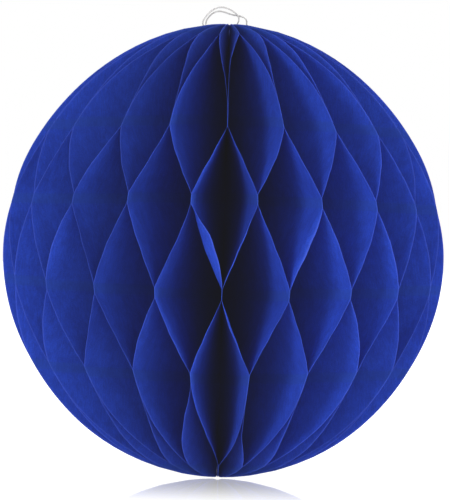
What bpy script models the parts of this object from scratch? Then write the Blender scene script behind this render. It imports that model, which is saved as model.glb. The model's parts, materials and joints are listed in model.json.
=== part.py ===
"""A paper honeycomb ball: forty tissue leaves that fan out from a spine thread, two card covers that
meet back to back, the adhesive strips that hold them together, and a hanging loop of string.
Metres, +Z up. The ball stands on its lower pole at the origin, with the covers' seam at the back (+Y)."""

import math

import bmesh
import bpy

# The ball
BALL_RADIUS = 0.125
HALF_HEIGHT = 0.1284
ROUNDNESS = (1.94, 2.05)  # the outline's exponent above and below the middle, where 2 is an ellipse
POLE_FLAT_RADIUS = 0.012
RIM_SHRINK = 0.045  # the share by which a leaf is shorter at the rim than at the spine

# The leaves
LEAF_COUNT = 40
LEAF_THICKNESS = 0.0002
LEAF_GAP = 0.0003
CORE_RADIUS = 0.0036
DIMPLE_DEPTH = 0.0025  # how far the spine's ends are below the poles
GLUE_STRIP = 0.006
GLUE_ROWS = (0.1248, 0.0729, 0.0287, -0.0251, -0.0724, -0.1240)  # above the ball's middle, at the spine
ROW_LIFTS = (0, -0.003, -0.0015, 0.005, 0.0035, 0)  # of each row at the ball's sides
ROW_TURNS = (1.0, 1.0, 2.5, 2.5, 0.7, 0)  # degrees that the fan is turned forwards at the ball's sides
LINES_BETWEEN_ROWS = (3, 2, 2, 2, 3)
POLAR_POWER = 3.0  # above the second row and below the fifth a leaf stays close to its glued neighbour
RADIAL_SPANS = 2

# The covers, and the adhesive between them
COVER_THICKNESS = 0.0004
COVER_SEAM = 0.0004
COVER_INSET = 0.002
COVER_INNER_EDGE = 0.014
COVER_ARC_POINTS = 30
STRIP_THICKNESS = 0.0002
STRIP_SIZE = (0.012, 0.055)
STRIP_CENTRE = (0.082, 0.045)  # out from the spine, and above or below the middle

# The string
THREAD_DIAMETER = 0.0012
STRING_DIAMETER = 0.001
KNOT_RADIUS = 0.0021
KNOT_HEIGHT = 0.0026
KNOT_DEPTH = 0.0020  # of a knot's middle below its pole

# The route of the hanging loop, in millimetres from the upper pole: out of the top knot between two
# leaves, over the arch to the right, round the bight that lies behind, and back beside itself
LOOP_ROUTE_MM = (
    (-2.6, 1.7, -1.5),
    (-4.4, 3.2, -1.0),
    (-6.5, 4.8, -0.4),
    (-8.4, 6.1, -0.6),
    (-10.4, 7.5, -1.1),
    (-12.6, 9.0, -1.5),
    (-14.5, 10.2, -0.9),
    (-15.2, 11.0, 0.9),
    (-14.6, 11.5, 2.8),
    (-13.5, 11.8, 4.5),
    (-12.2, 12.0, 6.1),
    (-10.2, 12.2, 8.0),
    (-7.9, 12.3, 9.4),
    (-4.9, 12.2, 10.1),
    (-1.6, 12.2, 9.6),
    (1.5, 12.4, 8.2),
    (4.0, 12.9, 6.3),
    (5.3, 13.9, 4.2),
    (5.1, 15.7, 2.3),
    (4.2, 18.6, 0.6),
    (3.8, 22.4, -0.7),
    (4.0, 26.6, -1.9),
    (4.4, 30.6, -3.2),
    (5.8, 33.5, -4.2),
    (8.2, 34.2, -4.5),
    (10.4, 32.8, -4.1),
    (11.2, 29.4, -3.0),
    (10.9, 24.8, -1.4),
    (10.2, 21.0, -0.2),
    (9.8, 18.2, 1.1),
    (9.8, 16.4, 2.8),
    (8.8, 15.5, 4.3),
    (6.8, 15.1, 5.2),
    (4.0, 14.9, 5.7),
    (0.8, 14.8, 6.3),
    (-2.4, 14.7, 7.3),
    (-5.3, 14.8, 7.9),
    (-8.1, 15.2, 7.4),
    (-10.4, 15.8, 6.1),
    (-12.2, 16.6, 4.1),
    (-13.1, 17.2, 2.5),
    (-13.4, 17.8, 0.9),
    (-12.9, 17.5, -0.6),
    (-11.4, 15.6, -1.7),
    (-8.2, 11.3, -1.4),
    (-6.5, 8.9, -0.9),
    (-4.8, 6.6, -0.4),
    (-3.1, 4.3, -1.1),
    (-1.5, 2.6, -1.5),
)
LOOP_TUBE_POINTS = 78

TISSUE_BLUE = (0.012, 0.024, 0.30)
CARD_BLUE = (0.014, 0.028, 0.26)
THREAD_BLUE = (0.020, 0.036, 0.22)
STRING_WHITE = (0.82, 0.82, 0.80)
ADHESIVE_CLEAR = (0.75, 0.74, 0.66)


def roundness(z):
    """The outline's exponent for a height, or an angle, above or below the middle."""
    return ROUNDNESS[0] if z > 0 else ROUNDNESS[1]


def outline_radius(z):
    """How far the paper reaches from the spine, z above the ball's middle."""
    share = max(0.0, 1 - (abs(z) / HALF_HEIGHT) ** roundness(z))
    return max(POLE_FLAT_RADIUS, BALL_RADIUS * share ** (1 / roundness(z)))


def contracted(height, radius):
    """A height on a flat leaf, once the leaf is opened into its zigzag."""
    return height * (1 - RIM_SHRINK * (radius / BALL_RADIUS) ** 2)


def glued_boundary(number, row):
    """The boundary at which a leaf is glued on a row: the one after the leaf, or the one before it."""
    return number if (number + row) % 2 else number - 1


def row_height(row, boundary):
    return GLUE_ROWS[row] + ROW_LIFTS[row] * math.sin(2 * math.pi * boundary / LEAF_COUNT) ** 2


def turned_share(row, share):
    """How far a leaf has crossed from one row to the next, after this share of the paper between them."""
    if row == 0:
        return 1 - (1 - share) ** POLAR_POWER
    if row == len(GLUE_ROWS) - 2:
        return share**POLAR_POWER
    return share


def mesh_lines(number):
    """A leaf's horizontal mesh lines from the top: the height at the spine, the row above, and how far
    the leaf has crossed from there to the next row."""
    half = GLUE_STRIP / 2
    heights = [row_height(row, glued_boundary(number, row)) for row in range(len(GLUE_ROWS))]
    lines = [(HALF_HEIGHT, 0, 0)]
    for row, height in enumerate(heights):
        lines += [(height + half, row, 0), (height - half, row, 0)]
        if row + 1 == len(heights):
            break
        between = LINES_BETWEEN_ROWS[row]
        for step in range(1, between + 1):
            share = step / (between + 1)
            gone = share * (height - heights[row + 1] - GLUE_STRIP)
            lines.append((height - half - gone, row, turned_share(row, share)))
    lines.append((-HALF_HEIGHT, len(heights) - 1, 0))
    return lines


def glued_angle(number, row, radius):
    """The leaf's angle from the seam where it is glued along a row."""
    boundary = glued_boundary(number, row)
    seam = COVER_SEAM / 2 + COVER_THICKNESS + LEAF_GAP / 2
    arc = seam + (2 * math.pi * radius - 2 * seam) * boundary / LEAF_COUNT
    side = 1 if boundary == number else -1
    turn = math.radians(ROW_TURNS[row]) * math.sin(2 * math.pi * boundary / LEAF_COUNT)
    return (arc - side * (LEAF_THICKNESS + LEAF_GAP) / 2) / radius + turn


def leaf_point(number, height, row, crossed, share):
    """A point of a leaf's middle surface, on one of its mesh lines, where the share runs from 0 at the
    spine to 1 at the rim."""
    radius = CORE_RADIUS + (outline_radius(height) - CORE_RADIUS) * share
    angle = glued_angle(number, row, radius)
    if crossed:
        angle += (glued_angle(number, row + 1, radius) - angle) * crossed
    dimple = DIMPLE_DEPTH * (1 - share) * (height / HALF_HEIGHT) ** 9
    z = HALF_HEIGHT + contracted(height, radius) - dimple
    return (-radius * math.sin(angle), radius * math.cos(angle), z)


def material(name, colour, roughness):
    made = bpy.data.materials.new(name)
    made.use_nodes = True
    shader = made.node_tree.nodes["Principled BSDF"]
    shader.inputs["Base Color"].default_value = (*colour, 1)
    shader.inputs["Roughness"].default_value = roughness
    shader.inputs["Metallic"].default_value = 0
    return made


def add_object(name, data, finish, collection):
    made = bpy.data.objects.new(name, data)
    data.materials.append(finish)
    collection.objects.link(made)
    return made


def mesh_object(name, bm, finish, collection):
    mesh = bpy.data.meshes.new(name)
    bm.to_mesh(mesh)
    bm.free()
    return add_object(name, mesh, finish, collection)


def make_leaf(number, finish, collection):
    """A half-disc of tissue, opened into a zigzag, as a grid whose edges are the spine and the rim."""
    lines = mesh_lines(number)
    bm = bmesh.new()
    bmesh.ops.create_grid(bm, x_segments=RADIAL_SPANS, y_segments=len(lines) - 1, size=1)
    for vertex in bm.verts:
        share = (vertex.co.x + 1) / 2
        line = lines[round((vertex.co.y + 1) / 2 * (len(lines) - 1))]
        vertex.co = leaf_point(number, *line, share)
    bmesh.ops.triangulate(bm, faces=bm.faces[:])
    leaf = mesh_object(f"leaf_{number:02d}", bm, finish, collection)
    paper = leaf.modifiers.new("paper", "SOLIDIFY")
    paper.thickness = LEAF_THICKNESS
    paper.offset = 0
    return leaf


def cover_outline():
    """The corners of a card cover, out from the spine and above the middle."""
    radius = BALL_RADIUS - COVER_INSET
    height = HALF_HEIGHT - COVER_INSET
    top = math.acos(COVER_INNER_EDGE / radius)
    points = []
    for step in range(COVER_ARC_POINTS + 1):
        angle = top - 2 * top * step / COVER_ARC_POINTS
        power = roundness(angle)
        out = radius * math.cos(angle) ** (2 / power)
        up = math.copysign(height * abs(math.sin(angle)) ** (2 / power), angle)
        points.append((out, up * (1 - RIM_SHRINK * (out / BALL_RADIUS) ** 2)))
    return points


def make_cover(name, side, finish, collection):
    """A card half-disc in the plane of the seam, a little to the left (-1) or to the right (1) of it."""
    curve = bpy.data.curves.new(name, "CURVE")
    curve.dimensions = "2D"
    curve.fill_mode = "BOTH"
    curve.extrude = COVER_THICKNESS / 2
    points = cover_outline()
    spline = curve.splines.new("POLY")
    spline.points.add(len(points) - 1)
    for corner, (out, up) in zip(spline.points, points):
        corner.co = (out, up, 0, 1)
    spline.use_cyclic_u = True
    cover = add_object(name, curve, finish, collection)
    cover.rotation_euler = (math.pi / 2, 0, math.pi / 2)
    cover.location = (side * (COVER_SEAM + COVER_THICKNESS) / 2, 0, HALF_HEIGHT)
    return cover


def make_adhesive(name, side, finish, collection):
    """A strip of double-sided adhesive between the covers, above (1) or below (-1) the middle."""
    bm = bmesh.new()
    bmesh.ops.create_cube(bm, size=1)
    bmesh.ops.scale(bm, verts=bm.verts[:], vec=(STRIP_THICKNESS, *STRIP_SIZE))
    strip = mesh_object(name, bm, finish, collection)
    out, up = STRIP_CENTRE
    strip.location = (0, out, HALF_HEIGHT + side * up)
    return strip


def make_knot(name, z, finish, collection):
    bm = bmesh.new()
    bmesh.ops.create_uvsphere(bm, u_segments=12, v_segments=8, radius=KNOT_RADIUS)
    bmesh.ops.scale(bm, verts=bm.verts[:], vec=(1, 1, KNOT_HEIGHT / 2 / KNOT_RADIUS))
    knot = mesh_object(name, bm, finish, collection)
    knot.data.shade_smooth()
    knot.location = (0, 0, z)
    return knot


def tube(name, points, diameter, finish, collection):
    """A round tube with closed ends along a list of points."""
    curve = bpy.data.curves.new(name, "CURVE")
    curve.dimensions = "3D"
    curve.bevel_depth = diameter / 2
    curve.bevel_resolution = 2
    curve.use_fill_caps = True
    spline = curve.splines.new("POLY")
    spline.points.add(len(points) - 1)
    for corner, point in zip(spline.points, points):
        corner.co = (*point, 1)
    return add_object(name, curve, finish, collection)


def smooth_route(route, count):
    """Points spaced evenly along a smooth curve through the route's own points."""
    ends = [route[0]] + list(route) + [route[-1]]
    fine = []
    for a, b, c, d in zip(ends, ends[1:], ends[2:], ends[3:]):
        for step in range(20):
            t = step / 20
            fine.append(tuple(catmull_rom(*values, t) for values in zip(a, b, c, d)))
    fine.append(route[-1])
    along = [0.0]
    for one, two in zip(fine, fine[1:]):
        along.append(along[-1] + math.dist(one, two))
    points = []
    at = 0
    for step in range(count):
        target = along[-1] * step / (count - 1)
        while at < len(along) - 2 and along[at + 1] < target:
            at += 1
        share = (target - along[at]) / (along[at + 1] - along[at])
        points.append(tuple(p + (q - p) * share for p, q in zip(fine[at], fine[at + 1])))
    return points


def catmull_rom(a, b, c, d, t):
    return b + t * ((c - a) / 2 + t * (a - 2.5 * b + 2 * c - d / 2 + t * (1.5 * (b - c) + (d - a) / 2)))


def make_spine(finish, collection):
    gap = KNOT_DEPTH + KNOT_HEIGHT / 2 + LEAF_GAP
    ends = [(0, 0, gap), (0, 0, 2 * HALF_HEIGHT - gap)]
    return tube("spine_thread", ends, THREAD_DIAMETER, finish, collection)


def make_loop(finish, collection):
    top = 2 * HALF_HEIGHT
    route = [(x / 1000, y / 1000, top + z / 1000) for x, y, z in LOOP_ROUTE_MM]
    points = smooth_route(route, LOOP_TUBE_POINTS)
    return tube("hanging_loop", points, STRING_DIAMETER, finish, collection)


def main():
    for old in list(bpy.data.objects):
        bpy.data.objects.remove(old, do_unlink=True)
    ball = bpy.data.collections.new("paper_honeycomb_ball")
    bpy.context.scene.collection.children.link(ball)
    tissue = material("tissue_paper", TISSUE_BLUE, 0.85)
    card = material("card", CARD_BLUE, 0.7)
    thread = material("blue_thread", THREAD_BLUE, 0.8)
    string = material("cotton_string", STRING_WHITE, 0.8)
    adhesive = material("adhesive", ADHESIVE_CLEAR, 0.4)
    for number in range(1, LEAF_COUNT + 1):
        make_leaf(number, tissue, ball)
    make_cover("cover_left", -1, card, ball)
    make_cover("cover_right", 1, card, ball)
    make_adhesive("adhesive_strip_upper", 1, adhesive, ball)
    make_adhesive("adhesive_strip_lower", -1, adhesive, ball)
    make_spine(thread, ball)
    make_knot("top_knot", 2 * HALF_HEIGHT - KNOT_DEPTH, thread, ball)
    make_knot("bottom_knot", KNOT_DEPTH, thread, ball)
    make_loop(string, ball)


main()
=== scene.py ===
"""Looks of the paper honeycomb ball: forty tissue leaves, two card covers with adhesive between them,
the spine thread with its knots, and the hanging loop of twisted string, in a bright soft studio.
Metres, +Z up, the ball's front to -Y. Angles round the spine start at the seam behind (+Y) and grow to
the left, so that the front is at 180 degrees and the right of the front is beyond that."""

import json
import math
import random

import bmesh
import bpy
import numpy as np
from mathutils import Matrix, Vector


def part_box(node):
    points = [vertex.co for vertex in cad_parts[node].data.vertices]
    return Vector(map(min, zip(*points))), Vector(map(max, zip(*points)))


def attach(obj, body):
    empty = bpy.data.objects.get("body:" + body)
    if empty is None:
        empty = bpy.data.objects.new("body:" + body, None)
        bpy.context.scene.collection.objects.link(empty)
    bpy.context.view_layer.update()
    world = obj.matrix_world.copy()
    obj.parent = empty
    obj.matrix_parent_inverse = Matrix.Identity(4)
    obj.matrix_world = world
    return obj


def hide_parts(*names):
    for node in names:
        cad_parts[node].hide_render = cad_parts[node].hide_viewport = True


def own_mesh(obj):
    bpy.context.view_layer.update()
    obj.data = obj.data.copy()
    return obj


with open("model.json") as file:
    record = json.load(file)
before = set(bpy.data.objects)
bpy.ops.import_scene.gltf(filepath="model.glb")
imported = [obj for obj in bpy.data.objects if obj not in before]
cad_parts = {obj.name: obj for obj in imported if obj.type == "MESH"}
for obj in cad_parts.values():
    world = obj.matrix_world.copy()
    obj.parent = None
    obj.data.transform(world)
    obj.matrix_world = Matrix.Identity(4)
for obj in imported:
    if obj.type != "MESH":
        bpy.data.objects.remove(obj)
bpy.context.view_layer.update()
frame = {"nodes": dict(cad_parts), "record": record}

# The ball, as the CAD has it
UPPER_POLE = frame["record"]["mounts"][0]["pos_m"][2]
HALF_HEIGHT = UPPER_POLE / 2
BALL_RADIUS = 0.125
ROUNDNESS = (1.94, 2.05)  # the outline's exponent above and below the middle, where 2 is an ellipse
POLE_FLAT_RADIUS = 0.012  # the smallest distance of the rim from the axis, which makes the poles flat
RIM_SHRINK = 0.045  # how much nearer the ball's middle height the paper lies at its widest than flat
COVER_SEAM = 0.0004
COVER_THICKNESS = 0.0004
LEAF_COUNT = 40
GLUE_STRIP = 0.006

# The six rows of glue from the top: their height above the ball's middle, how much higher they are at the
# sides than in front, and how many degrees they are turned towards the front at the sides
GLUE_ROWS = (0.1248, 0.0729, 0.0287, -0.0251, -0.0724, -0.1240)
ROW_LIFTS = (0, -0.003, -0.0015, 0.005, 0.0035, 0)
ROW_TURNS = (1.0, 1.0, 2.5, 2.5, 0.7, 0)

# The tissue
TISSUE_THICKNESS = 0.0001
GLUE_GAP = 0.00002
SPINE_EDGE = 0.0011  # from the axis to a leaf's straight edge
KNOT_CLEARANCE = 0.0022  # the same beside a knot
KNOT_BAND = (0.0066, 0.0036)  # how far from the pole that clearance begins, and is complete
LINE_SPACING = 0.0035  # between the mesh's lines that run out from the spine
POLE_LINES = 5
POLE_CROWDING = 1.6
RADIAL_SPANS = 20
RIM_CROWDING = 1.9
LEAF_SHARP_ANGLE = 50
NOISE_STEP = 0.31  # how far apart two leaves are in the tissue's noise
EDGE_ROUNDING = 0.06  # how softly a leaf bends away from a glue strip, from 0 to 1
POLAR_POWER = 3.0  # above the second row and below the fifth a leaf stays close to its glued neighbour
DIMPLE = (0.0010, 0.0040)  # depth and radius of the hollow round the upper end of the spine
LOWER_DIMPLE = (0.0002, 0.0040)  # the same at the lower end, which the ball stands on
STRING_DIMPLE = (0.0031, 0.0104)  # the same where the loop's string lies on the leaves
STRING_LEAVES = range(3, 9)
DIMPLE_POWER = 9

# How uneven the leaves are where nothing below says more
HEIGHT_SPREAD = 0.0005
TURN_SPREAD = (0.3, 1.0)  # degrees, at the four rows between and at the outer two
POLAR_SPREAD = (0.75, 1.3)  # times the polar power
BELLY_SPREAD = 0.04
CURL_SPREAD = 0.0022
CURL_PLACES = (0.3, 0.7)
CURL_WIDTH = 0.008
CURL_ENDS = 0.85  # how bluntly a curled strip begins and ends
CURL_FADE = 1.8  # how soon a curl dies out inwards from the rim
CURL_ROOM = 4  # a curl is smaller where the leaf is less than a quarter of the way from a neighbour
RIPPLE_SIZE = 0.00018
RIPPLE_RATE = 420
RIPPLE_WIDTH = 0.03

# Glue lines that the fan was opened less evenly at: (row, boundary) to degrees
UNEVEN_TURNS = {
    (2, 14): -1.3,
    (2, 16): 1.8,
    (6, 18): -3.2,
    (6, 22): 1.2,
}

# Leaves whose rim curls over between two rows: (leaf, row above) to (how far towards the right of the
# front, or the left if negative, where along the gap it is widest, and how wide the curled strip is)
CURLS = {
    (20, 3): (0.0064, 0.46, 0.0080),
    (23, 3): (0.0031, 0.46, 0.0028),
    (19, 3): (0.0012, 0.25, 0.0050),
    (21, 3): (-0.0010, 0.45, 0.0060),
    (24, 3): (0.0014, 0.30, 0.0080),
    (20, 2): (-0.0008, 0.50, 0.0080),
    (22, 2): (0.0010, 0.50, 0.0080),
}

# Leaves that cross from one glue line to the next later (negative) or sooner than the others do
BELLIES = {
    (20, 3): -0.10,
    (23, 3): 0.15,
}

# How sharply some leaves near the front open towards the poles: (leaf, 1 above or 5 below)
POLAR_POWERS = {
    (20, 1): 2.2,
    (21, 1): 6.0,
    (19, 5): 1.4,
    (20, 5): 1.9,
    (21, 5): 4.8,
    (22, 5): 3.5,
}

# The card covers
CORNER_RADIUS = 0.003
CORNER_STEPS = 6
CARD_EDGE = 0.00008  # how much the cut edge is rounded
CARD_ARC_POINTS = 96
CARD_SHARP_ANGLE = 35

# The string, the thread and the knots. A pitch is the length of one full turn of the plies
STRING_DIAMETER = 0.001
STRING_PITCH = 0.0028
STRING_SIDES = 7
STRING_SHARP_ANGLE = 60
LOOP_POINTS = 600
ROUTE_STEPS = 20
THREAD_DIAMETER = 0.0012
THREAD_END = 0.0004  # how far inside the pole the thread is cut off, beyond its knot
THREAD_POINTS = 780
THREAD_PITCH = 0.0034
THREAD_SIDES = 5
KNOT_POINTS = 150
KNOT_PITCH = 0.0026
KNOT_SIDES = 6
PLY_COUNT = 3
PLY_OFFSET = 0.235  # from the string's middle to a ply's, as a share of the string's diameter
PLY_RADIUS = 0.262  # the same for a ply's own radius

# The route of the hanging loop, in millimetres from the upper pole, as the CAD has it
LOOP_ROUTE_MM = (
    (-2.6, 1.7, -1.5),
    (-4.4, 3.2, -1.0),
    (-6.5, 4.8, -0.4),
    (-8.4, 6.1, -0.6),
    (-10.4, 7.5, -1.1),
    (-12.6, 9.0, -1.5),
    (-14.5, 10.2, -0.9),
    (-15.2, 11.0, 0.9),
    (-14.6, 11.5, 2.8),
    (-13.5, 11.8, 4.5),
    (-12.2, 12.0, 6.1),
    (-10.2, 12.2, 8.0),
    (-7.9, 12.3, 9.4),
    (-4.9, 12.2, 10.1),
    (-1.6, 12.2, 9.6),
    (1.5, 12.4, 8.2),
    (4.0, 12.9, 6.3),
    (5.3, 13.9, 4.2),
    (5.1, 15.7, 2.3),
    (4.2, 18.6, 0.6),
    (3.8, 22.4, -0.7),
    (4.0, 26.6, -1.9),
    (4.4, 30.6, -3.2),
    (5.8, 33.5, -4.2),
    (8.2, 34.2, -4.5),
    (10.4, 32.8, -4.1),
    (11.2, 29.4, -3.0),
    (10.9, 24.8, -1.4),
    (10.2, 21.0, -0.2),
    (9.8, 18.2, 1.1),
    (9.8, 16.4, 2.8),
    (8.8, 15.5, 4.3),
    (6.8, 15.1, 5.2),
    (4.0, 14.9, 5.7),
    (0.8, 14.8, 6.3),
    (-2.4, 14.7, 7.3),
    (-5.3, 14.8, 7.9),
    (-8.1, 15.2, 7.4),
    (-10.4, 15.8, 6.1),
    (-12.2, 16.6, 4.1),
    (-13.1, 17.2, 2.5),
    (-13.4, 17.8, 0.9),
    (-12.9, 17.5, -0.6),
    (-11.4, 15.6, -1.7),
    (-8.2, 11.3, -1.4),
    (-6.5, 8.9, -0.9),
    (-4.8, 6.6, -0.4),
    (-3.1, 4.3, -1.1),
    (-1.5, 2.6, -1.5),
)

# Colours, where a surface varies from its deep tone to its light one
WHITE = (1, 1, 1, 1)
TISSUE_DEEP = (0.0115, 0.044, 0.385, 1)
TISSUE_LIGHT = (0.0135, 0.052, 0.43, 1)
# A painted highlight: the lighter blue that the tissue's rim is mixed towards, as if its edge caught the
# light
TISSUE_RIM_HIGHLIGHT = (0.065, 0.12, 0.66, 1)
TISSUE_GLOW = (0.014, 0.036, 0.55, 1)
TISSUE_GLUED = (0.014, 0.056, 0.30, 1)
CARD_DEEP = (0.009, 0.030, 0.28, 1)
CARD_LIGHT = (0.012, 0.038, 0.34, 1)
CORE_DEEP = (0.05, 0.07, 0.26, 1)
CORE_LIGHT = (0.09, 0.12, 0.36, 1)
STRING_DEEP = (0.42, 0.41, 0.40, 1)
STRING_LIGHT = (0.58, 0.57, 0.56, 1)
THREAD_DEEP = (0.016, 0.030, 0.20, 1)
THREAD_LIGHT = (0.024, 0.045, 0.28, 1)
FILM_DEEP = (0.46, 0.44, 0.34, 1)
FILM_LIGHT = (0.56, 0.54, 0.44, 1)
FLOOR_DEEP = (0.27, 0.27, 0.275, 1)
FLOOR_LIGHT = (0.29, 0.29, 0.29, 1)

THROUGH_SHARE = 0.22  # how much of the tissue's light comes through it
RIM_HIGHLIGHT_SHARE = 0.45  # how much of the painted rim highlight there is at the very rim
GLUED_SHARE = 0.38  # how much of the glued colour there is in a glue strip

# Camera and studio
CAMERA_DISTANCE = 2.5
VIEW_HEIGHT = 0.2835  # what the picture's height takes in at the spine
CAMERA_SHIFT = (0.00085, 0.0003)
CAMERA_ROLL = 1.5  # degrees
CAMERA_REACH = 50
SENSOR = 36
VEIL = 0.0095  # the light that the picture's blacks are lifted by
WORLD_LIGHT = 0.55  # how brightly the white all around lights the ball
KEY_LIGHT = 1.97  # the same from the middle of the front
KEY_SIDE = (0.12, -0.99, 0.05)
KEY_SPREAD = 0.45  # the cosine of the angle from that side at which the key light has died out
OVERHEAD_SHARE = 0.6  # how much of the light is left overhead
FLOOR_SIZE = 30
FLOOR_LEVEL = -0.0006
FLOOR_GLOW = 1.20
FLOOR_POLISH = (0.70, 0.02)  # how much the floor mirrors beside the ball, and further away
POLISH_REACH = (0.02, 0.40)  # how far from the middle of the floor that change begins and ends

# The softboxes: name to (place, size, power)
SOFTBOXES = {
    "front_left": ((-1.5, -2.1, 0.3), 0.9, 42),
    "front_right": ((1.7, -2.0, 0.2), 1.0, 8),
    "right": ((1.05, -0.40, 0.16), 0.45, 11),
    "back_left": ((-1.6, 1.7, 0.4), 1.2, 22),
    "back_right": ((1.6, 1.7, 0.4), 1.2, 50),
}

SEED = 7


def roundness(height):
    return np.where(np.asarray(height) > 0, *ROUNDNESS)


def outline_radius(height):
    """How far the paper reaches from the spine, for heights above the ball's middle."""
    power = roundness(height)
    share = np.clip(1 - (np.abs(height) / HALF_HEIGHT) ** power, 0, None)
    return np.maximum(POLE_FLAT_RADIUS, BALL_RADIUS * share ** (1 / power))


def outline_height(radius, power):
    share = np.clip(1 - (radius / BALL_RADIUS) ** power, 0, None)
    return HALF_HEIGHT * share ** (1 / power)


def spine_edge(height):
    """How far from the axis a leaf's straight edge is, which is further out beside the knots."""
    start, complete = KNOT_BAND
    from_pole = HALF_HEIGHT - np.abs(height)
    beside = np.clip((start - from_pole) / (start - complete), 0, 1)
    return SPINE_EDGE + (KNOT_CLEARANCE - SPINE_EDGE) * beside


def boundary_angle(boundary, radius):
    """The angle of the boundary between two leaves, where the fan leaves room for the covers."""
    seam = COVER_SEAM / 2 + COVER_THICKNESS + GLUE_GAP
    return (seam + (2 * math.pi * radius - 2 * seam) * boundary / LEAF_COUNT) / radius


def glue_line(row, boundary):
    """The height of a glue line at the spine, and its turn away from the fan's even spacing. Both
    leaves that meet there share it."""
    chance = random.Random(f"{SEED} {row} {boundary}")
    around = 2 * math.pi * boundary / LEAF_COUNT
    height = GLUE_ROWS[row - 1] + ROW_LIFTS[row - 1] * math.sin(around) ** 2
    height += chance.uniform(-1, 1) * HEIGHT_SPREAD
    turn = ROW_TURNS[row - 1] * math.sin(around)
    if 0 < boundary < LEAF_COUNT:
        between, outer = TURN_SPREAD
        turn += chance.uniform(-1, 1) * (between if 1 < row < 6 else outer)
        turn += UNEVEN_TURNS.get((row, boundary), 0)
    return height, math.radians(turn)


def rows_of(leaf):
    """The leaf's six glue lines from the top: height, boundary, turn, and 1 if it is glued to the next
    leaf or -1 if to the one before."""
    found = []
    for row in range(1, 7):
        side = 1 if (row + leaf) % 2 == 0 else -1
        boundary = leaf if side == 1 else leaf - 1
        height, turn = glue_line(row, boundary)
        found.append((height, boundary, turn, side))
    return found


def leaf_heights(rows):
    """The heights at the spine of the leaf's mesh lines, with one at each edge of each glue strip."""
    half = GLUE_STRIP / 2
    edges = [HALF_HEIGHT]
    for height, *_ in rows:
        edges += [height + half, height, height - half]
    edges.append(-HALF_HEIGHT)
    heights = []
    for above, below in zip(edges, edges[1:]):
        count = max(1, round((above - below) / LINE_SPACING))
        steps = np.arange(count) / count
        if above == HALF_HEIGHT:
            steps = (np.arange(POLE_LINES) / POLE_LINES) ** POLE_CROWDING
        elif below == -HALF_HEIGHT:
            steps = 1 - (1 - np.arange(POLE_LINES) / POLE_LINES) ** POLE_CROWDING
        heights.extend(above + steps * (below - above))
    heights.append(-HALF_HEIGHT)
    return np.array(heights)


def turned_share(leaf, row, share):
    """How far the leaf has crossed from one glue line to the next, after this share of the paper."""
    if row in (1, 5):
        power = POLAR_POWERS.get((leaf, row))
        if power is None:
            power = POLAR_POWER * random.Random(f"{SEED} open {leaf} {row}").uniform(*POLAR_SPREAD)
        return 1 - (1 - share) ** power if row == 1 else share**power
    eased = share * share * (3 - 2 * share)
    belly = BELLIES.get((leaf, row))
    if belly is None:
        belly = random.Random(f"{SEED} belly {leaf} {row}").uniform(-BELLY_SPREAD, BELLY_SPREAD)
    return (1 - EDGE_ROUNDING) * share + EDGE_ROUNDING * eased + belly * np.sin(math.pi * share)


def curl_of(leaf, row):
    """How far the rim curls to the right between this row and the next, where it is widest, and the
    width of the strip that curls."""
    if (leaf, row) in CURLS:
        return CURLS[leaf, row]
    chance = random.Random(f"{SEED} curl {leaf} {row}")
    size = chance.uniform(-1, 1)
    return CURL_SPREAD * size**3, chance.uniform(*CURL_PLACES), CURL_WIDTH


def leaf_grid(rows):
    """The grid of a leaf laid flat: the height at the spine of each of its lines, and for each point how
    far it is from the axis, its height, and how far it is from the rim."""
    heights = leaf_heights(rows)
    t = np.linspace(0, 1, RADIAL_SPANS + 1)
    share = 1 - (1 - t) ** RIM_CROWDING
    rim = outline_radius(heights)
    inner = spine_edge(heights)
    radius = inner[:, None] + (rim - inner)[:, None] * share[None, :]
    power = roundness(heights)[:, None]
    level = np.minimum(np.abs(heights)[:, None], outline_height(radius, power))
    flat = level * np.sign(heights)[:, None]
    round_share = (radius / BALL_RADIUS) ** power + (np.abs(flat) / HALF_HEIGHT) ** power
    from_rim = BALL_RADIUS * np.clip(1 - round_share ** (1 / power), 0, None)
    return heights, radius, flat, from_rim


def glued_angle(row, radius):
    """A leaf's angle round the spine along one of its glue lines, for each distance from the axis."""
    _, boundary, turn, side = row
    offset = side * (TISSUE_THICKNESS + GLUE_GAP) / 2
    return boundary_angle(boundary, radius) + turn - offset / radius


def dimple_depth(leaf, radius, flat):
    """How far down, or up at the lower end, the leaf is pressed round the spine and under the string."""
    upper, lower = [depth * np.exp(-((radius / reach) ** 2)) for depth, reach in (DIMPLE, LOWER_DIMPLE)]
    if leaf in STRING_LEAVES:
        depth, reach = STRING_DIMPLE
        upper = depth * np.clip((POLE_FLAT_RADIUS - radius) / reach, 0, 1)
    return np.where(flat > 0, upper, lower) * (flat / HALF_HEIGHT) ** DIMPLE_POWER


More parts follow.
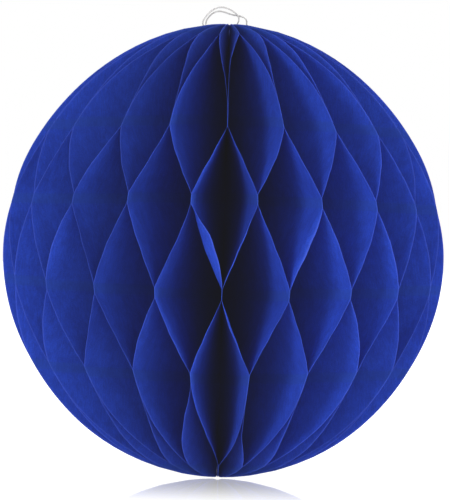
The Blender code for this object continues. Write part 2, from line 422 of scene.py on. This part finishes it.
def leaf_surface(leaf):
    """The leaf's middle surface as a grid of points, with the paper's own coordinates (out from the
    spine and up, when flat), each point's distance from the rim and from the nearest glue line."""
    rows = rows_of(leaf)
    heights, radius, flat, from_rim = leaf_grid(rows)
    half = GLUE_STRIP / 2
    phase = random.Random(f"{SEED} wave {leaf}").uniform(0, 6)
    ripple = RIPPLE_SIZE * np.sin(heights * RIPPLE_RATE + phase)[:, None]
    angle = glued_angle(rows[0], radius)
    curl = np.zeros_like(radius)
    for row in range(1, 6):
        above, under = rows[row - 1], rows[row]
        here, below = above[0], under[0]
        gone = np.clip((here - half - heights) / (here - below - 2 * half), 0, 1)
        crossed = turned_share(leaf, row, gone)[:, None]
        between = glued_angle(above, radius) * (1 - crossed) + glued_angle(under, radius) * crossed
        angle = np.where(heights[:, None] < here - half, between, angle)
        size, widest, width = curl_of(leaf, row)
        skew = gone ** (math.log(0.5) / math.log(widest))
        apart = np.clip(np.minimum(crossed, 1 - crossed), 0, 1)
        window = np.minimum(np.sin(math.pi * skew)[:, None] ** CURL_ENDS, CURL_ROOM * apart)
        curl += size * window * np.clip(1 - from_rim / width, 0, 1) ** CURL_FADE
        curl += window * ripple * np.clip(1 - from_rim / RIPPLE_WIDTH, 0, 1)
    angle = angle + curl / radius
    droop = 1 - RIM_SHRINK * (radius / BALL_RADIUS) ** 2
    z = HALF_HEIGHT + flat * droop - dimple_depth(leaf, radius, flat)
    points = np.stack([-radius * np.sin(angle), radius * np.cos(angle), z], axis=-1)
    paper = np.stack([radius, flat, np.full_like(radius, NOISE_STEP * leaf)], axis=-1)
    from_row = np.min([np.abs(heights - row[0]) for row in rows], axis=0)
    return points, paper, from_rim, np.repeat(from_row[:, None], RADIAL_SPANS + 1, axis=1)


def add_object(name, mesh, *finishes):
    made = bpy.data.objects.new(name, mesh)
    bpy.context.scene.collection.objects.link(made)
    for finish in finishes:
        mesh.materials.append(finish)
    return made


def grid_mesh(name, points):
    """A sheet of four-sided faces over a grid of points."""
    tall, wide = points.shape[:2]
    index = np.arange(tall * wide).reshape(tall, wide)
    faces = np.stack([index[:-1, :-1], index[1:, :-1], index[1:, 1:], index[:-1, 1:]], axis=-1)
    mesh = bpy.data.meshes.new(name)
    mesh.from_pydata(points.reshape(-1, 3).tolist(), [], faces.reshape(-1, 4).tolist())
    return mesh


def store(mesh, name, kind, field, values):
    attribute = mesh.attributes.new(name, kind, "POINT")
    attribute.data.foreach_set(field, np.ascontiguousarray(values, np.float32).ravel())


def apply_modifiers(made):
    graph = bpy.context.evaluated_depsgraph_get()
    mesh = bpy.data.meshes.new_from_object(made.evaluated_get(graph))
    made.modifiers.clear()
    made.data = mesh


def shade(mesh, sharp_angle):
    """Shades the mesh smoothly, apart from the edges that turn by more degrees than this."""
    mesh.shade_smooth()
    mesh.set_sharp_from_angle(angle=math.radians(sharp_angle))


def make_leaf(leaf, finish):
    points, paper, from_rim, from_row = leaf_surface(leaf)
    mesh = grid_mesh(f"tissue_leaf_{leaf:02d}", points)
    store(mesh, "paper", "FLOAT_VECTOR", "vector", paper)
    store(mesh, "from_rim", "FLOAT", "value", from_rim)
    store(mesh, "from_row", "FLOAT", "value", from_row)
    made = add_object(f"tissue_leaf_{leaf:02d}", mesh, finish)
    sheet = made.modifiers.new("sheet", "SOLIDIFY")
    sheet.thickness = TISSUE_THICKNESS
    sheet.offset = 0
    apply_modifiers(made)
    shade(made.data, LEAF_SHARP_ANGLE)
    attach(made, f"leaf_{leaf:02d}_body")
    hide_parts(f"leaf_{leaf:02d}")
    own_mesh(made)


def node(tree, kind, inputs=None, **settings):
    """A shader node. An input is set to a value, or linked if it is given a socket."""
    made = tree.nodes.new(kind)
    for name, value in settings.items():
        setattr(made, name, value)
    for name, value in (inputs or {}).items():
        if isinstance(value, bpy.types.NodeSocket):
            tree.links.new(value, made.inputs[name])
        else:
            made.inputs[name].default_value = value
    return made


def blank_material(name):
    made = bpy.data.materials.new(name)
    made.use_nodes = True
    made.node_tree.nodes.clear()
    return made, made.node_tree


def noise(tree, vector, scale, detail=3.0, roughness=0.6):
    values = {"Vector": vector, "Scale": scale, "Detail": detail, "Roughness": roughness}
    return node(tree, "ShaderNodeTexNoise", values).outputs["Fac"]


def attribute(tree, name, output):
    return node(tree, "ShaderNodeAttribute", attribute_name=name).outputs[output]


def remap(tree, value, low, high, to_low=0.0, to_high=1.0, smooth=True):
    """The value's place between low and high, as a number from to_low to to_high."""
    settings = {"Value": value, 1: low, 2: high, 3: to_low, 4: to_high}
    kind = "SMOOTHSTEP" if smooth else "LINEAR"
    return node(tree, "ShaderNodeMapRange", settings, interpolation_type=kind).outputs["Result"]


def maths(tree, operation, one, two):
    return node(tree, "ShaderNodeMath", {0: one, 1: two}, operation=operation).outputs[0]


def mixed(tree, share, one, two, blend="MIX"):
    settings = {0: share, 6: one, 7: two}
    return node(tree, "ShaderNodeMix", settings, data_type="RGBA", blend_type=blend).outputs[2]


def grey(tree, value):
    return node(tree, "ShaderNodeCombineColor", {0: value, 1: value, 2: value}).outputs[0]


def scaled(tree, colour, factor):
    """The colour times a number."""
    return mixed(tree, 1.0, colour, grey(tree, factor), "MULTIPLY")


def bump(tree, height, distance, normal=None):
    values = {"Height": height, "Distance": distance, "Strength": 1.0}
    if normal is not None:
        values["Normal"] = normal
    return node(tree, "ShaderNodeBump", values).outputs["Normal"]


def tissue_material():
    """Thin dyed tissue: cloudy where the fibres lie thicker, a painted highlight of lighter blue along
    the rim, and a stiffer band with a crease along each side where it is glued."""
    made, tree = blank_material("tissue_paper")
    paper = attribute(tree, "paper", "Vector")
    from_rim = attribute(tree, "from_rim", "Fac")
    from_row = attribute(tree, "from_row", "Fac")
    clouds = noise(tree, paper, scale=110, detail=4)
    grain = noise(tree, paper, scale=1100, detail=5, roughness=0.75)
    lengthwise = node(tree, "ShaderNodeVectorMath", {0: paper, 1: (5, 1, 1)}, operation="MULTIPLY")
    fibres = noise(tree, lengthwise.outputs[0], scale=220, roughness=0.7)
    crinkle = noise(tree, paper, scale=240, roughness=0.5)
    colour = mixed(tree, remap(tree, clouds, 0.35, 0.65), TISSUE_DEEP, TISSUE_LIGHT)
    speckle = remap(tree, maths(tree, "ADD", grain, fibres), 0.8, 1.2, 0.78, 1.22, smooth=False)
    colour = scaled(tree, colour, speckle)
    # Painted highlight: the last millimetre before the rim is mixed towards a lighter blue
    rim_highlight = remap(tree, from_rim, 0.0001, 0.0009, RIM_HIGHLIGHT_SHARE, 0.0)
    colour = mixed(tree, rim_highlight, colour, TISSUE_RIM_HIGHLIGHT)
    band = remap(tree, from_row, 0.0024, 0.0032, 1.0, 0.0)
    colour = mixed(tree, maths(tree, "MULTIPLY", band, GLUED_SHARE), colour, TISSUE_GLUED)
    glow = scaled(tree, TISSUE_GLOW, remap(tree, clouds, 0.3, 0.7, 0.75, 1.1))
    normal = bump(tree, crinkle, distance=0.00035)
    normal = bump(tree, band, distance=0.00004, normal=normal)
    normal = bump(tree, grain, distance=0.00003, normal=normal)
    sheet = node(tree, "ShaderNodeBsdfPrincipled", {
        "Base Color": colour,
        "Roughness": remap(tree, fibres, 0.3, 0.7, 0.82, 0.94),
        "Specular IOR Level": 0.12,
        "Normal": normal,
    })
    through = node(tree, "ShaderNodeBsdfTranslucent", {"Color": glow, "Normal": normal})
    shaders = {0: THROUGH_SHARE, 1: sheet.outputs[0], 2: through.outputs[0]}
    joined = node(tree, "ShaderNodeMixShader", shaders)
    node(tree, "ShaderNodeOutputMaterial", {"Surface": joined.outputs[0]})
    return made


def object_coordinates(tree):
    return node(tree, "ShaderNodeTexCoord").outputs["Object"]


def card_material():
    """Card printed blue on its faces, with a paler cut edge."""
    made, tree = blank_material("blue_card")
    where = object_coordinates(tree)
    pulp = noise(tree, where, scale=700, detail=4, roughness=0.7)
    clouds = noise(tree, where, scale=60)
    face = mixed(tree, remap(tree, clouds, 0.3, 0.7), CARD_DEEP, CARD_LIGHT)
    face = scaled(tree, face, remap(tree, pulp, 0.3, 0.7, 0.88, 1.1))
    core = mixed(tree, remap(tree, pulp, 0.35, 0.65), CORE_DEEP, CORE_LIGHT)
    normal = node(tree, "ShaderNodeTexCoord").outputs["Normal"]
    sideways = node(tree, "ShaderNodeSeparateXYZ", {0: normal}).outputs[0]
    is_edge = remap(tree, maths(tree, "ABSOLUTE", sideways, 0), 0.35, 0.6, 1.0, 0.0)
    board = node(tree, "ShaderNodeBsdfPrincipled", {
        "Base Color": mixed(tree, is_edge, face, core),
        "Roughness": remap(tree, pulp, 0.3, 0.7, 0.65, 0.82),
        "Specular IOR Level": 0.12,
        "Normal": bump(tree, pulp, distance=0.00004),
    })
    node(tree, "ShaderNodeOutputMaterial", {"Surface": board.outputs[0]})
    return made


def string_material(name, dark, light):
    """Cotton with fine fibres and a patchy colour."""
    made, tree = blank_material(name)
    where = object_coordinates(tree)
    fibres = noise(tree, where, scale=5200, roughness=0.7)
    patches = noise(tree, where, scale=500, detail=2)
    colour = mixed(tree, remap(tree, patches, 0.3, 0.7), dark, light)
    colour = scaled(tree, colour, remap(tree, fibres, 0.3, 0.7, 0.85, 1.05))
    cotton = node(tree, "ShaderNodeBsdfPrincipled", {
        "Base Color": colour,
        "Roughness": remap(tree, fibres, 0.3, 0.7, 0.8, 0.95),
        "Specular IOR Level": 0.2,
        "Sheen Weight": 0.25,
        "Normal": bump(tree, fibres, distance=0.00005),
    })
    node(tree, "ShaderNodeOutputMaterial", {"Surface": cotton.outputs[0]})
    return made


def adhesive_material():
    """A clear, slightly yellow film of adhesive with a faint weave of its carrier."""
    made, tree = blank_material("adhesive_film")
    where = object_coordinates(tree)
    haze = noise(tree, where, scale=260)
    threads = {"Vector": where, "Scale": 420.0, "Distortion": 0.6}
    weave = node(tree, "ShaderNodeTexWave", threads, bands_direction="Z")
    colour = mixed(tree, remap(tree, haze, 0.3, 0.7), FILM_DEEP, FILM_LIGHT)
    film = node(tree, "ShaderNodeBsdfPrincipled", {
        "Base Color": colour,
        "Roughness": remap(tree, haze, 0.3, 0.7, 0.28, 0.45),
        "Normal": bump(tree, weave.outputs["Fac"], distance=0.00002),
    })
    node(tree, "ShaderNodeOutputMaterial", {"Surface": film.outputs[0]})
    return made


def cover_corners():
    """The corners of a card cover, out from the spine and above the middle, as the CAD has it."""
    low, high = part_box("cover_left")
    inner, reach = low.y, high.y
    height = HALF_HEIGHT - (BALL_RADIUS - reach)
    top = math.acos(inner / reach)
    outline = []
    for step in range(CARD_ARC_POINTS + 1):
        angle = top * (1 - 2 * step / CARD_ARC_POINTS)
        power = ROUNDNESS[0] if angle > 0 else ROUNDNESS[1]
        out = reach * math.cos(angle) ** (2 / power)
        up = math.copysign(height * abs(math.sin(angle)) ** (2 / power), angle)
        outline.append((out, up * (1 - RIM_SHRINK * (out / BALL_RADIUS) ** 2)))
    outline = [(out, up) for out, up in outline if out > inner + CORNER_RADIUS]
    corners = []
    for end, side in ((outline[0][1], 1), (outline[-1][1], -1)):
        for step in range(CORNER_STEPS + 1):
            turn = math.pi / 2 * step / CORNER_STEPS
            out = inner + CORNER_RADIUS * (1 - math.cos(turn))
            corners.append((out, end - side * CORNER_RADIUS * (1 - math.sin(turn))))
    return corners[: CORNER_STEPS + 1] + outline + corners[:CORNER_STEPS:-1]


def make_cover(name, body, finish):
    """A card half-disc with its cut edge very slightly rounded."""
    low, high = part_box(name)
    curve = bpy.data.curves.new(name, "CURVE")
    curve.dimensions = "2D"
    curve.fill_mode = "BOTH"
    curve.extrude = COVER_THICKNESS / 2 - CARD_EDGE
    curve.bevel_depth = CARD_EDGE
    curve.bevel_resolution = 2
    curve.offset = -CARD_EDGE
    corners = cover_corners()
    spline = curve.splines.new("POLY")
    spline.points.add(len(corners) - 1)
    for corner, (out, up) in zip(spline.points, corners):
        corner.co = (out, up, 0, 1)
    spline.use_cyclic_u = True
    shape = bpy.data.objects.new(name, curve)
    bpy.context.scene.collection.objects.link(shape)
    bpy.context.view_layer.update()
    mesh = bpy.data.meshes.new_from_object(shape.evaluated_get(bpy.context.evaluated_depsgraph_get()))
    bpy.data.objects.remove(shape)
    bm = bmesh.new()
    bm.from_mesh(mesh)
    bmesh.ops.remove_doubles(bm, verts=bm.verts[:], dist=1e-6)
    across = (low.x + high.x) / 2
    for vertex in bm.verts:
        out, up, aside = vertex.co
        vertex.co = (across + aside, out, HALF_HEIGHT + up)
    bmesh.ops.recalc_face_normals(bm, faces=bm.faces[:])
    bm.to_mesh(mesh)
    bm.free()
    made = add_object(f"card_{name}", mesh, finish)
    shade(mesh, CARD_SHARP_ANGLE)
    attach(made, body)
    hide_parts(name)


def distance_along(points):
    """How far along a line each of its points is."""
    return np.concatenate([[0], np.cumsum(np.linalg.norm(np.diff(points, axis=0), axis=1))])


def smooth_route(route, count):
    """Points spaced evenly along a smooth curve through the route's own points."""
    points = np.array(route, float)
    ends = np.vstack([points[:1], points, points[-1:]])
    t = np.linspace(0, 1, ROUTE_STEPS, endpoint=False)[:, None]
    fine = []
    for a, b, c, d in zip(ends, ends[1:], ends[2:], ends[3:]):
        cubic = 1.5 * (b - c) + (d - a) / 2
        square = a - 2.5 * b + 2 * c - d / 2
        fine.append(b + t * ((c - a) / 2 + t * (square + t * cubic)))
    fine = np.vstack(fine + [points[-1:]])
    along = distance_along(fine)
    wanted = np.linspace(0, along[-1], count)
    return np.stack([np.interp(wanted, along, fine[:, axis]) for axis in range(3)], axis=1)


def steady_frames(points):
    """Two directions across a line at each point, turning as little as they can from one to the next."""
    ahead = np.gradient(points, axis=0)
    ahead /= np.linalg.norm(ahead, axis=1)[:, None]
    start = np.cross(ahead[0], (0, 0, 1))
    if np.linalg.norm(start) < 0.1:
        start = np.cross(ahead[0], (1, 0, 0))
    ones = [start / np.linalg.norm(start)]
    for direction in ahead[1:]:
        one = ones[-1] - direction * np.dot(ones[-1], direction)
        ones.append(one / np.linalg.norm(one))
    ones = np.array(ones)
    return ones, np.cross(ahead, ones)


def twisted_string(name, points, diameter, pitch, sides, finish):
    """Three plies laid round each other along a line of points."""
    ones, twos = steady_frames(points)
    along = distance_along(points)
    ring = 2 * math.pi * np.arange(sides) / sides
    bm = bmesh.new()
    for ply in range(PLY_COUNT):
        turn = 2 * math.pi * (along / pitch + ply / PLY_COUNT)
        outwards = ones * np.cos(turn)[:, None] + twos * np.sin(turn)[:, None]
        middle = points + diameter * PLY_OFFSET * outwards
        rings = []
        for centre, one, two in zip(middle, ones, twos):
            spread = np.outer(np.cos(ring), one) + np.outer(np.sin(ring), two)
            rings.append([bm.verts.new(corner) for corner in centre + diameter * PLY_RADIUS * spread])
        for near, far in zip(rings, rings[1:]):
            for side in range(sides):
                after = (side + 1) % sides
                bm.faces.new((near[side], near[after], far[after], far[side]))
        bm.faces.new(rings[0][::-1])
        bm.faces.new(rings[-1])
    bmesh.ops.recalc_face_normals(bm, faces=bm.faces[:])
    mesh = bpy.data.meshes.new(name)
    bm.to_mesh(mesh)
    bm.free()
    shade(mesh, STRING_SHARP_ANGLE)
    made = add_object(name, mesh, finish)
    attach(made, "spine_and_left_cover")
    return made


def make_loop(finish):
    route = [(x / 1000, y / 1000, UPPER_POLE + z / 1000) for x, y, z in LOOP_ROUTE_MM]
    points = smooth_route(route, LOOP_POINTS)
    loop = twisted_string("twisted_loop", points, STRING_DIAMETER, STRING_PITCH, STRING_SIDES,
                          finish)
    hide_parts("hanging_loop")


def make_thread(finish):
    heights = np.linspace(THREAD_END, UPPER_POLE - THREAD_END, THREAD_POINTS)
    points = np.stack([0 * heights, 0 * heights, heights], axis=1)
    thread = twisted_string("twisted_spine_thread", points, THREAD_DIAMETER, THREAD_PITCH, THREAD_SIDES,
                            finish)
    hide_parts("spine_thread")


def make_knot(node_name, finish):
    """An overhand knot, drawn tight, in the box that the CAD gives it."""
    low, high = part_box(node_name)
    centre = (low + high) / 2
    reach = ((high.x - low.x) - STRING_DIAMETER) / 6
    rise = ((high.z - low.z) - STRING_DIAMETER) / 2
    t = np.linspace(0, 2 * math.pi, KNOT_POINTS)
    points = np.stack([
        centre.x + reach * (np.sin(t) + 2 * np.sin(2 * t)),
        centre.y + reach * (np.cos(t) - 2 * np.cos(2 * t)),
        centre.z - rise * np.sin(3 * t),
    ], axis=1)
    knot = twisted_string(f"tied_{node_name}", points, STRING_DIAMETER, KNOT_PITCH, KNOT_SIDES,
                          finish)
    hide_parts(node_name)


def make_camera():
    data = bpy.data.cameras.new("camera")
    data.sensor_width = SENSOR
    data.lens = SENSOR * CAMERA_DISTANCE / VIEW_HEIGHT
    data.clip_end = CAMERA_REACH
    camera = bpy.data.objects.new("camera", data)
    across, up = CAMERA_SHIFT
    camera.location = (across, -CAMERA_DISTANCE, HALF_HEIGHT + up)
    camera.rotation_euler = (math.pi / 2, math.radians(-CAMERA_ROLL), 0)
    camera.rotation_mode = "XYZ"
    bpy.context.scene.collection.objects.link(camera)
    bpy.context.scene.camera = camera


def make_floor():
    """A white gloss floor, which the world's white meets far behind."""
    bm = bmesh.new()
    bmesh.ops.create_grid(bm, x_segments=8, y_segments=8, size=FLOOR_SIZE)
    mesh = bpy.data.meshes.new("studio_floor")
    bm.to_mesh(mesh)
    bm.free()
    made, tree = blank_material("gloss_white")
    where = object_coordinates(tree)
    tone = mixed(tree, noise(tree, where, scale=3, detail=2), FLOOR_DEEP, FLOOR_LIGHT)
    matt = node(tree, "ShaderNodeBsdfDiffuse", {"Color": tone})
    lit = node(tree, "ShaderNodeEmission", {"Color": WHITE, "Strength": FLOOR_GLOW})
    panel = node(tree, "ShaderNodeAddShader", {0: matt.outputs[0], 1: lit.outputs[0]})
    gloss = node(tree, "ShaderNodeBsdfGlossy", {"Color": WHITE, "Roughness": 0.03})
    away = node(tree, "ShaderNodeVectorMath", {0: where}, operation="LENGTH").outputs["Value"]
    polish = remap(tree, away, *POLISH_REACH, *FLOOR_POLISH)
    joined = node(tree, "ShaderNodeMixShader", {0: polish, 1: panel.outputs[0], 2: gloss.outputs[0]})
    node(tree, "ShaderNodeOutputMaterial", {"Surface": joined.outputs[0]})
    floor = add_object("studio_floor", mesh, made)
    floor.location.z = FLOOR_LEVEL


def add_light(name, place, size, power):
    """A square softbox that faces the ball."""
    data = bpy.data.lights.new(name, "AREA")
    data.size = size
    data.energy = power
    light = bpy.data.objects.new(name, data)
    light.location = place
    towards = Vector((0, 0, HALF_HEIGHT)) - Vector(place)
    light.rotation_mode = "QUATERNION"
    light.rotation_quaternion = towards.to_track_quat("-Z", "Y")
    bpy.context.scene.collection.objects.link(light)


def make_studio():
    world = bpy.data.worlds.new("white_studio")
    world.use_nodes = True
    tree = world.node_tree
    direction = node(tree, "ShaderNodeTexCoord").outputs["Generated"]
    height = node(tree, "ShaderNodeSeparateXYZ", {0: direction}).outputs["Z"]
    facing = node(tree, "ShaderNodeVectorMath", {0: direction, 1: KEY_SIDE}, operation="DOT_PRODUCT")
    level = remap(tree, facing.outputs["Value"], KEY_SPREAD, 1.0, WORLD_LIGHT, KEY_LIGHT)
    dimmer = maths(tree, "MULTIPLY", level, remap(tree, height, 0.15, 0.8, 1.0, OVERHEAD_SHARE))
    ray = node(tree, "ShaderNodeLightPath").outputs
    seen = maths(tree, "MAXIMUM", ray["Is Camera Ray"], ray["Is Glossy Ray"])
    shown = mixed(tree, seen, grey(tree, dimmer), WHITE)
    tree.links.new(shown, tree.nodes["Background"].inputs["Color"])
    bpy.context.scene.world = world
    picture = bpy.context.scene.view_settings
    picture.view_transform = "Standard"
    picture.use_curve_mapping = True
    picture.curve_mapping.black_level = (-VEIL, -VEIL, -VEIL)
    make_floor()
    for name, (place, size, power) in SOFTBOXES.items():
        add_light(name, place, size, power)


def main():
    make_camera()
    make_loop(string_material("cotton_string", STRING_DEEP, STRING_LIGHT))
    blue = string_material("blue_thread", THREAD_DEEP, THREAD_LIGHT)
    make_thread(blue)
    make_knot("top_knot", blue)
    make_knot("bottom_knot", blue)
    tissue = tissue_material()
    for leaf in range(1, LEAF_COUNT + 1):
        make_leaf(leaf, tissue)
    card = card_material()
    make_cover("cover_left", "spine_and_left_cover", card)
    make_cover("cover_right", "right_cover", card)
    film = adhesive_material()
    for name in ("adhesive_strip_upper", "adhesive_strip_lower"):
        for place in frame["nodes"][name].material_slots:
            place.material = film
    make_studio()


main()
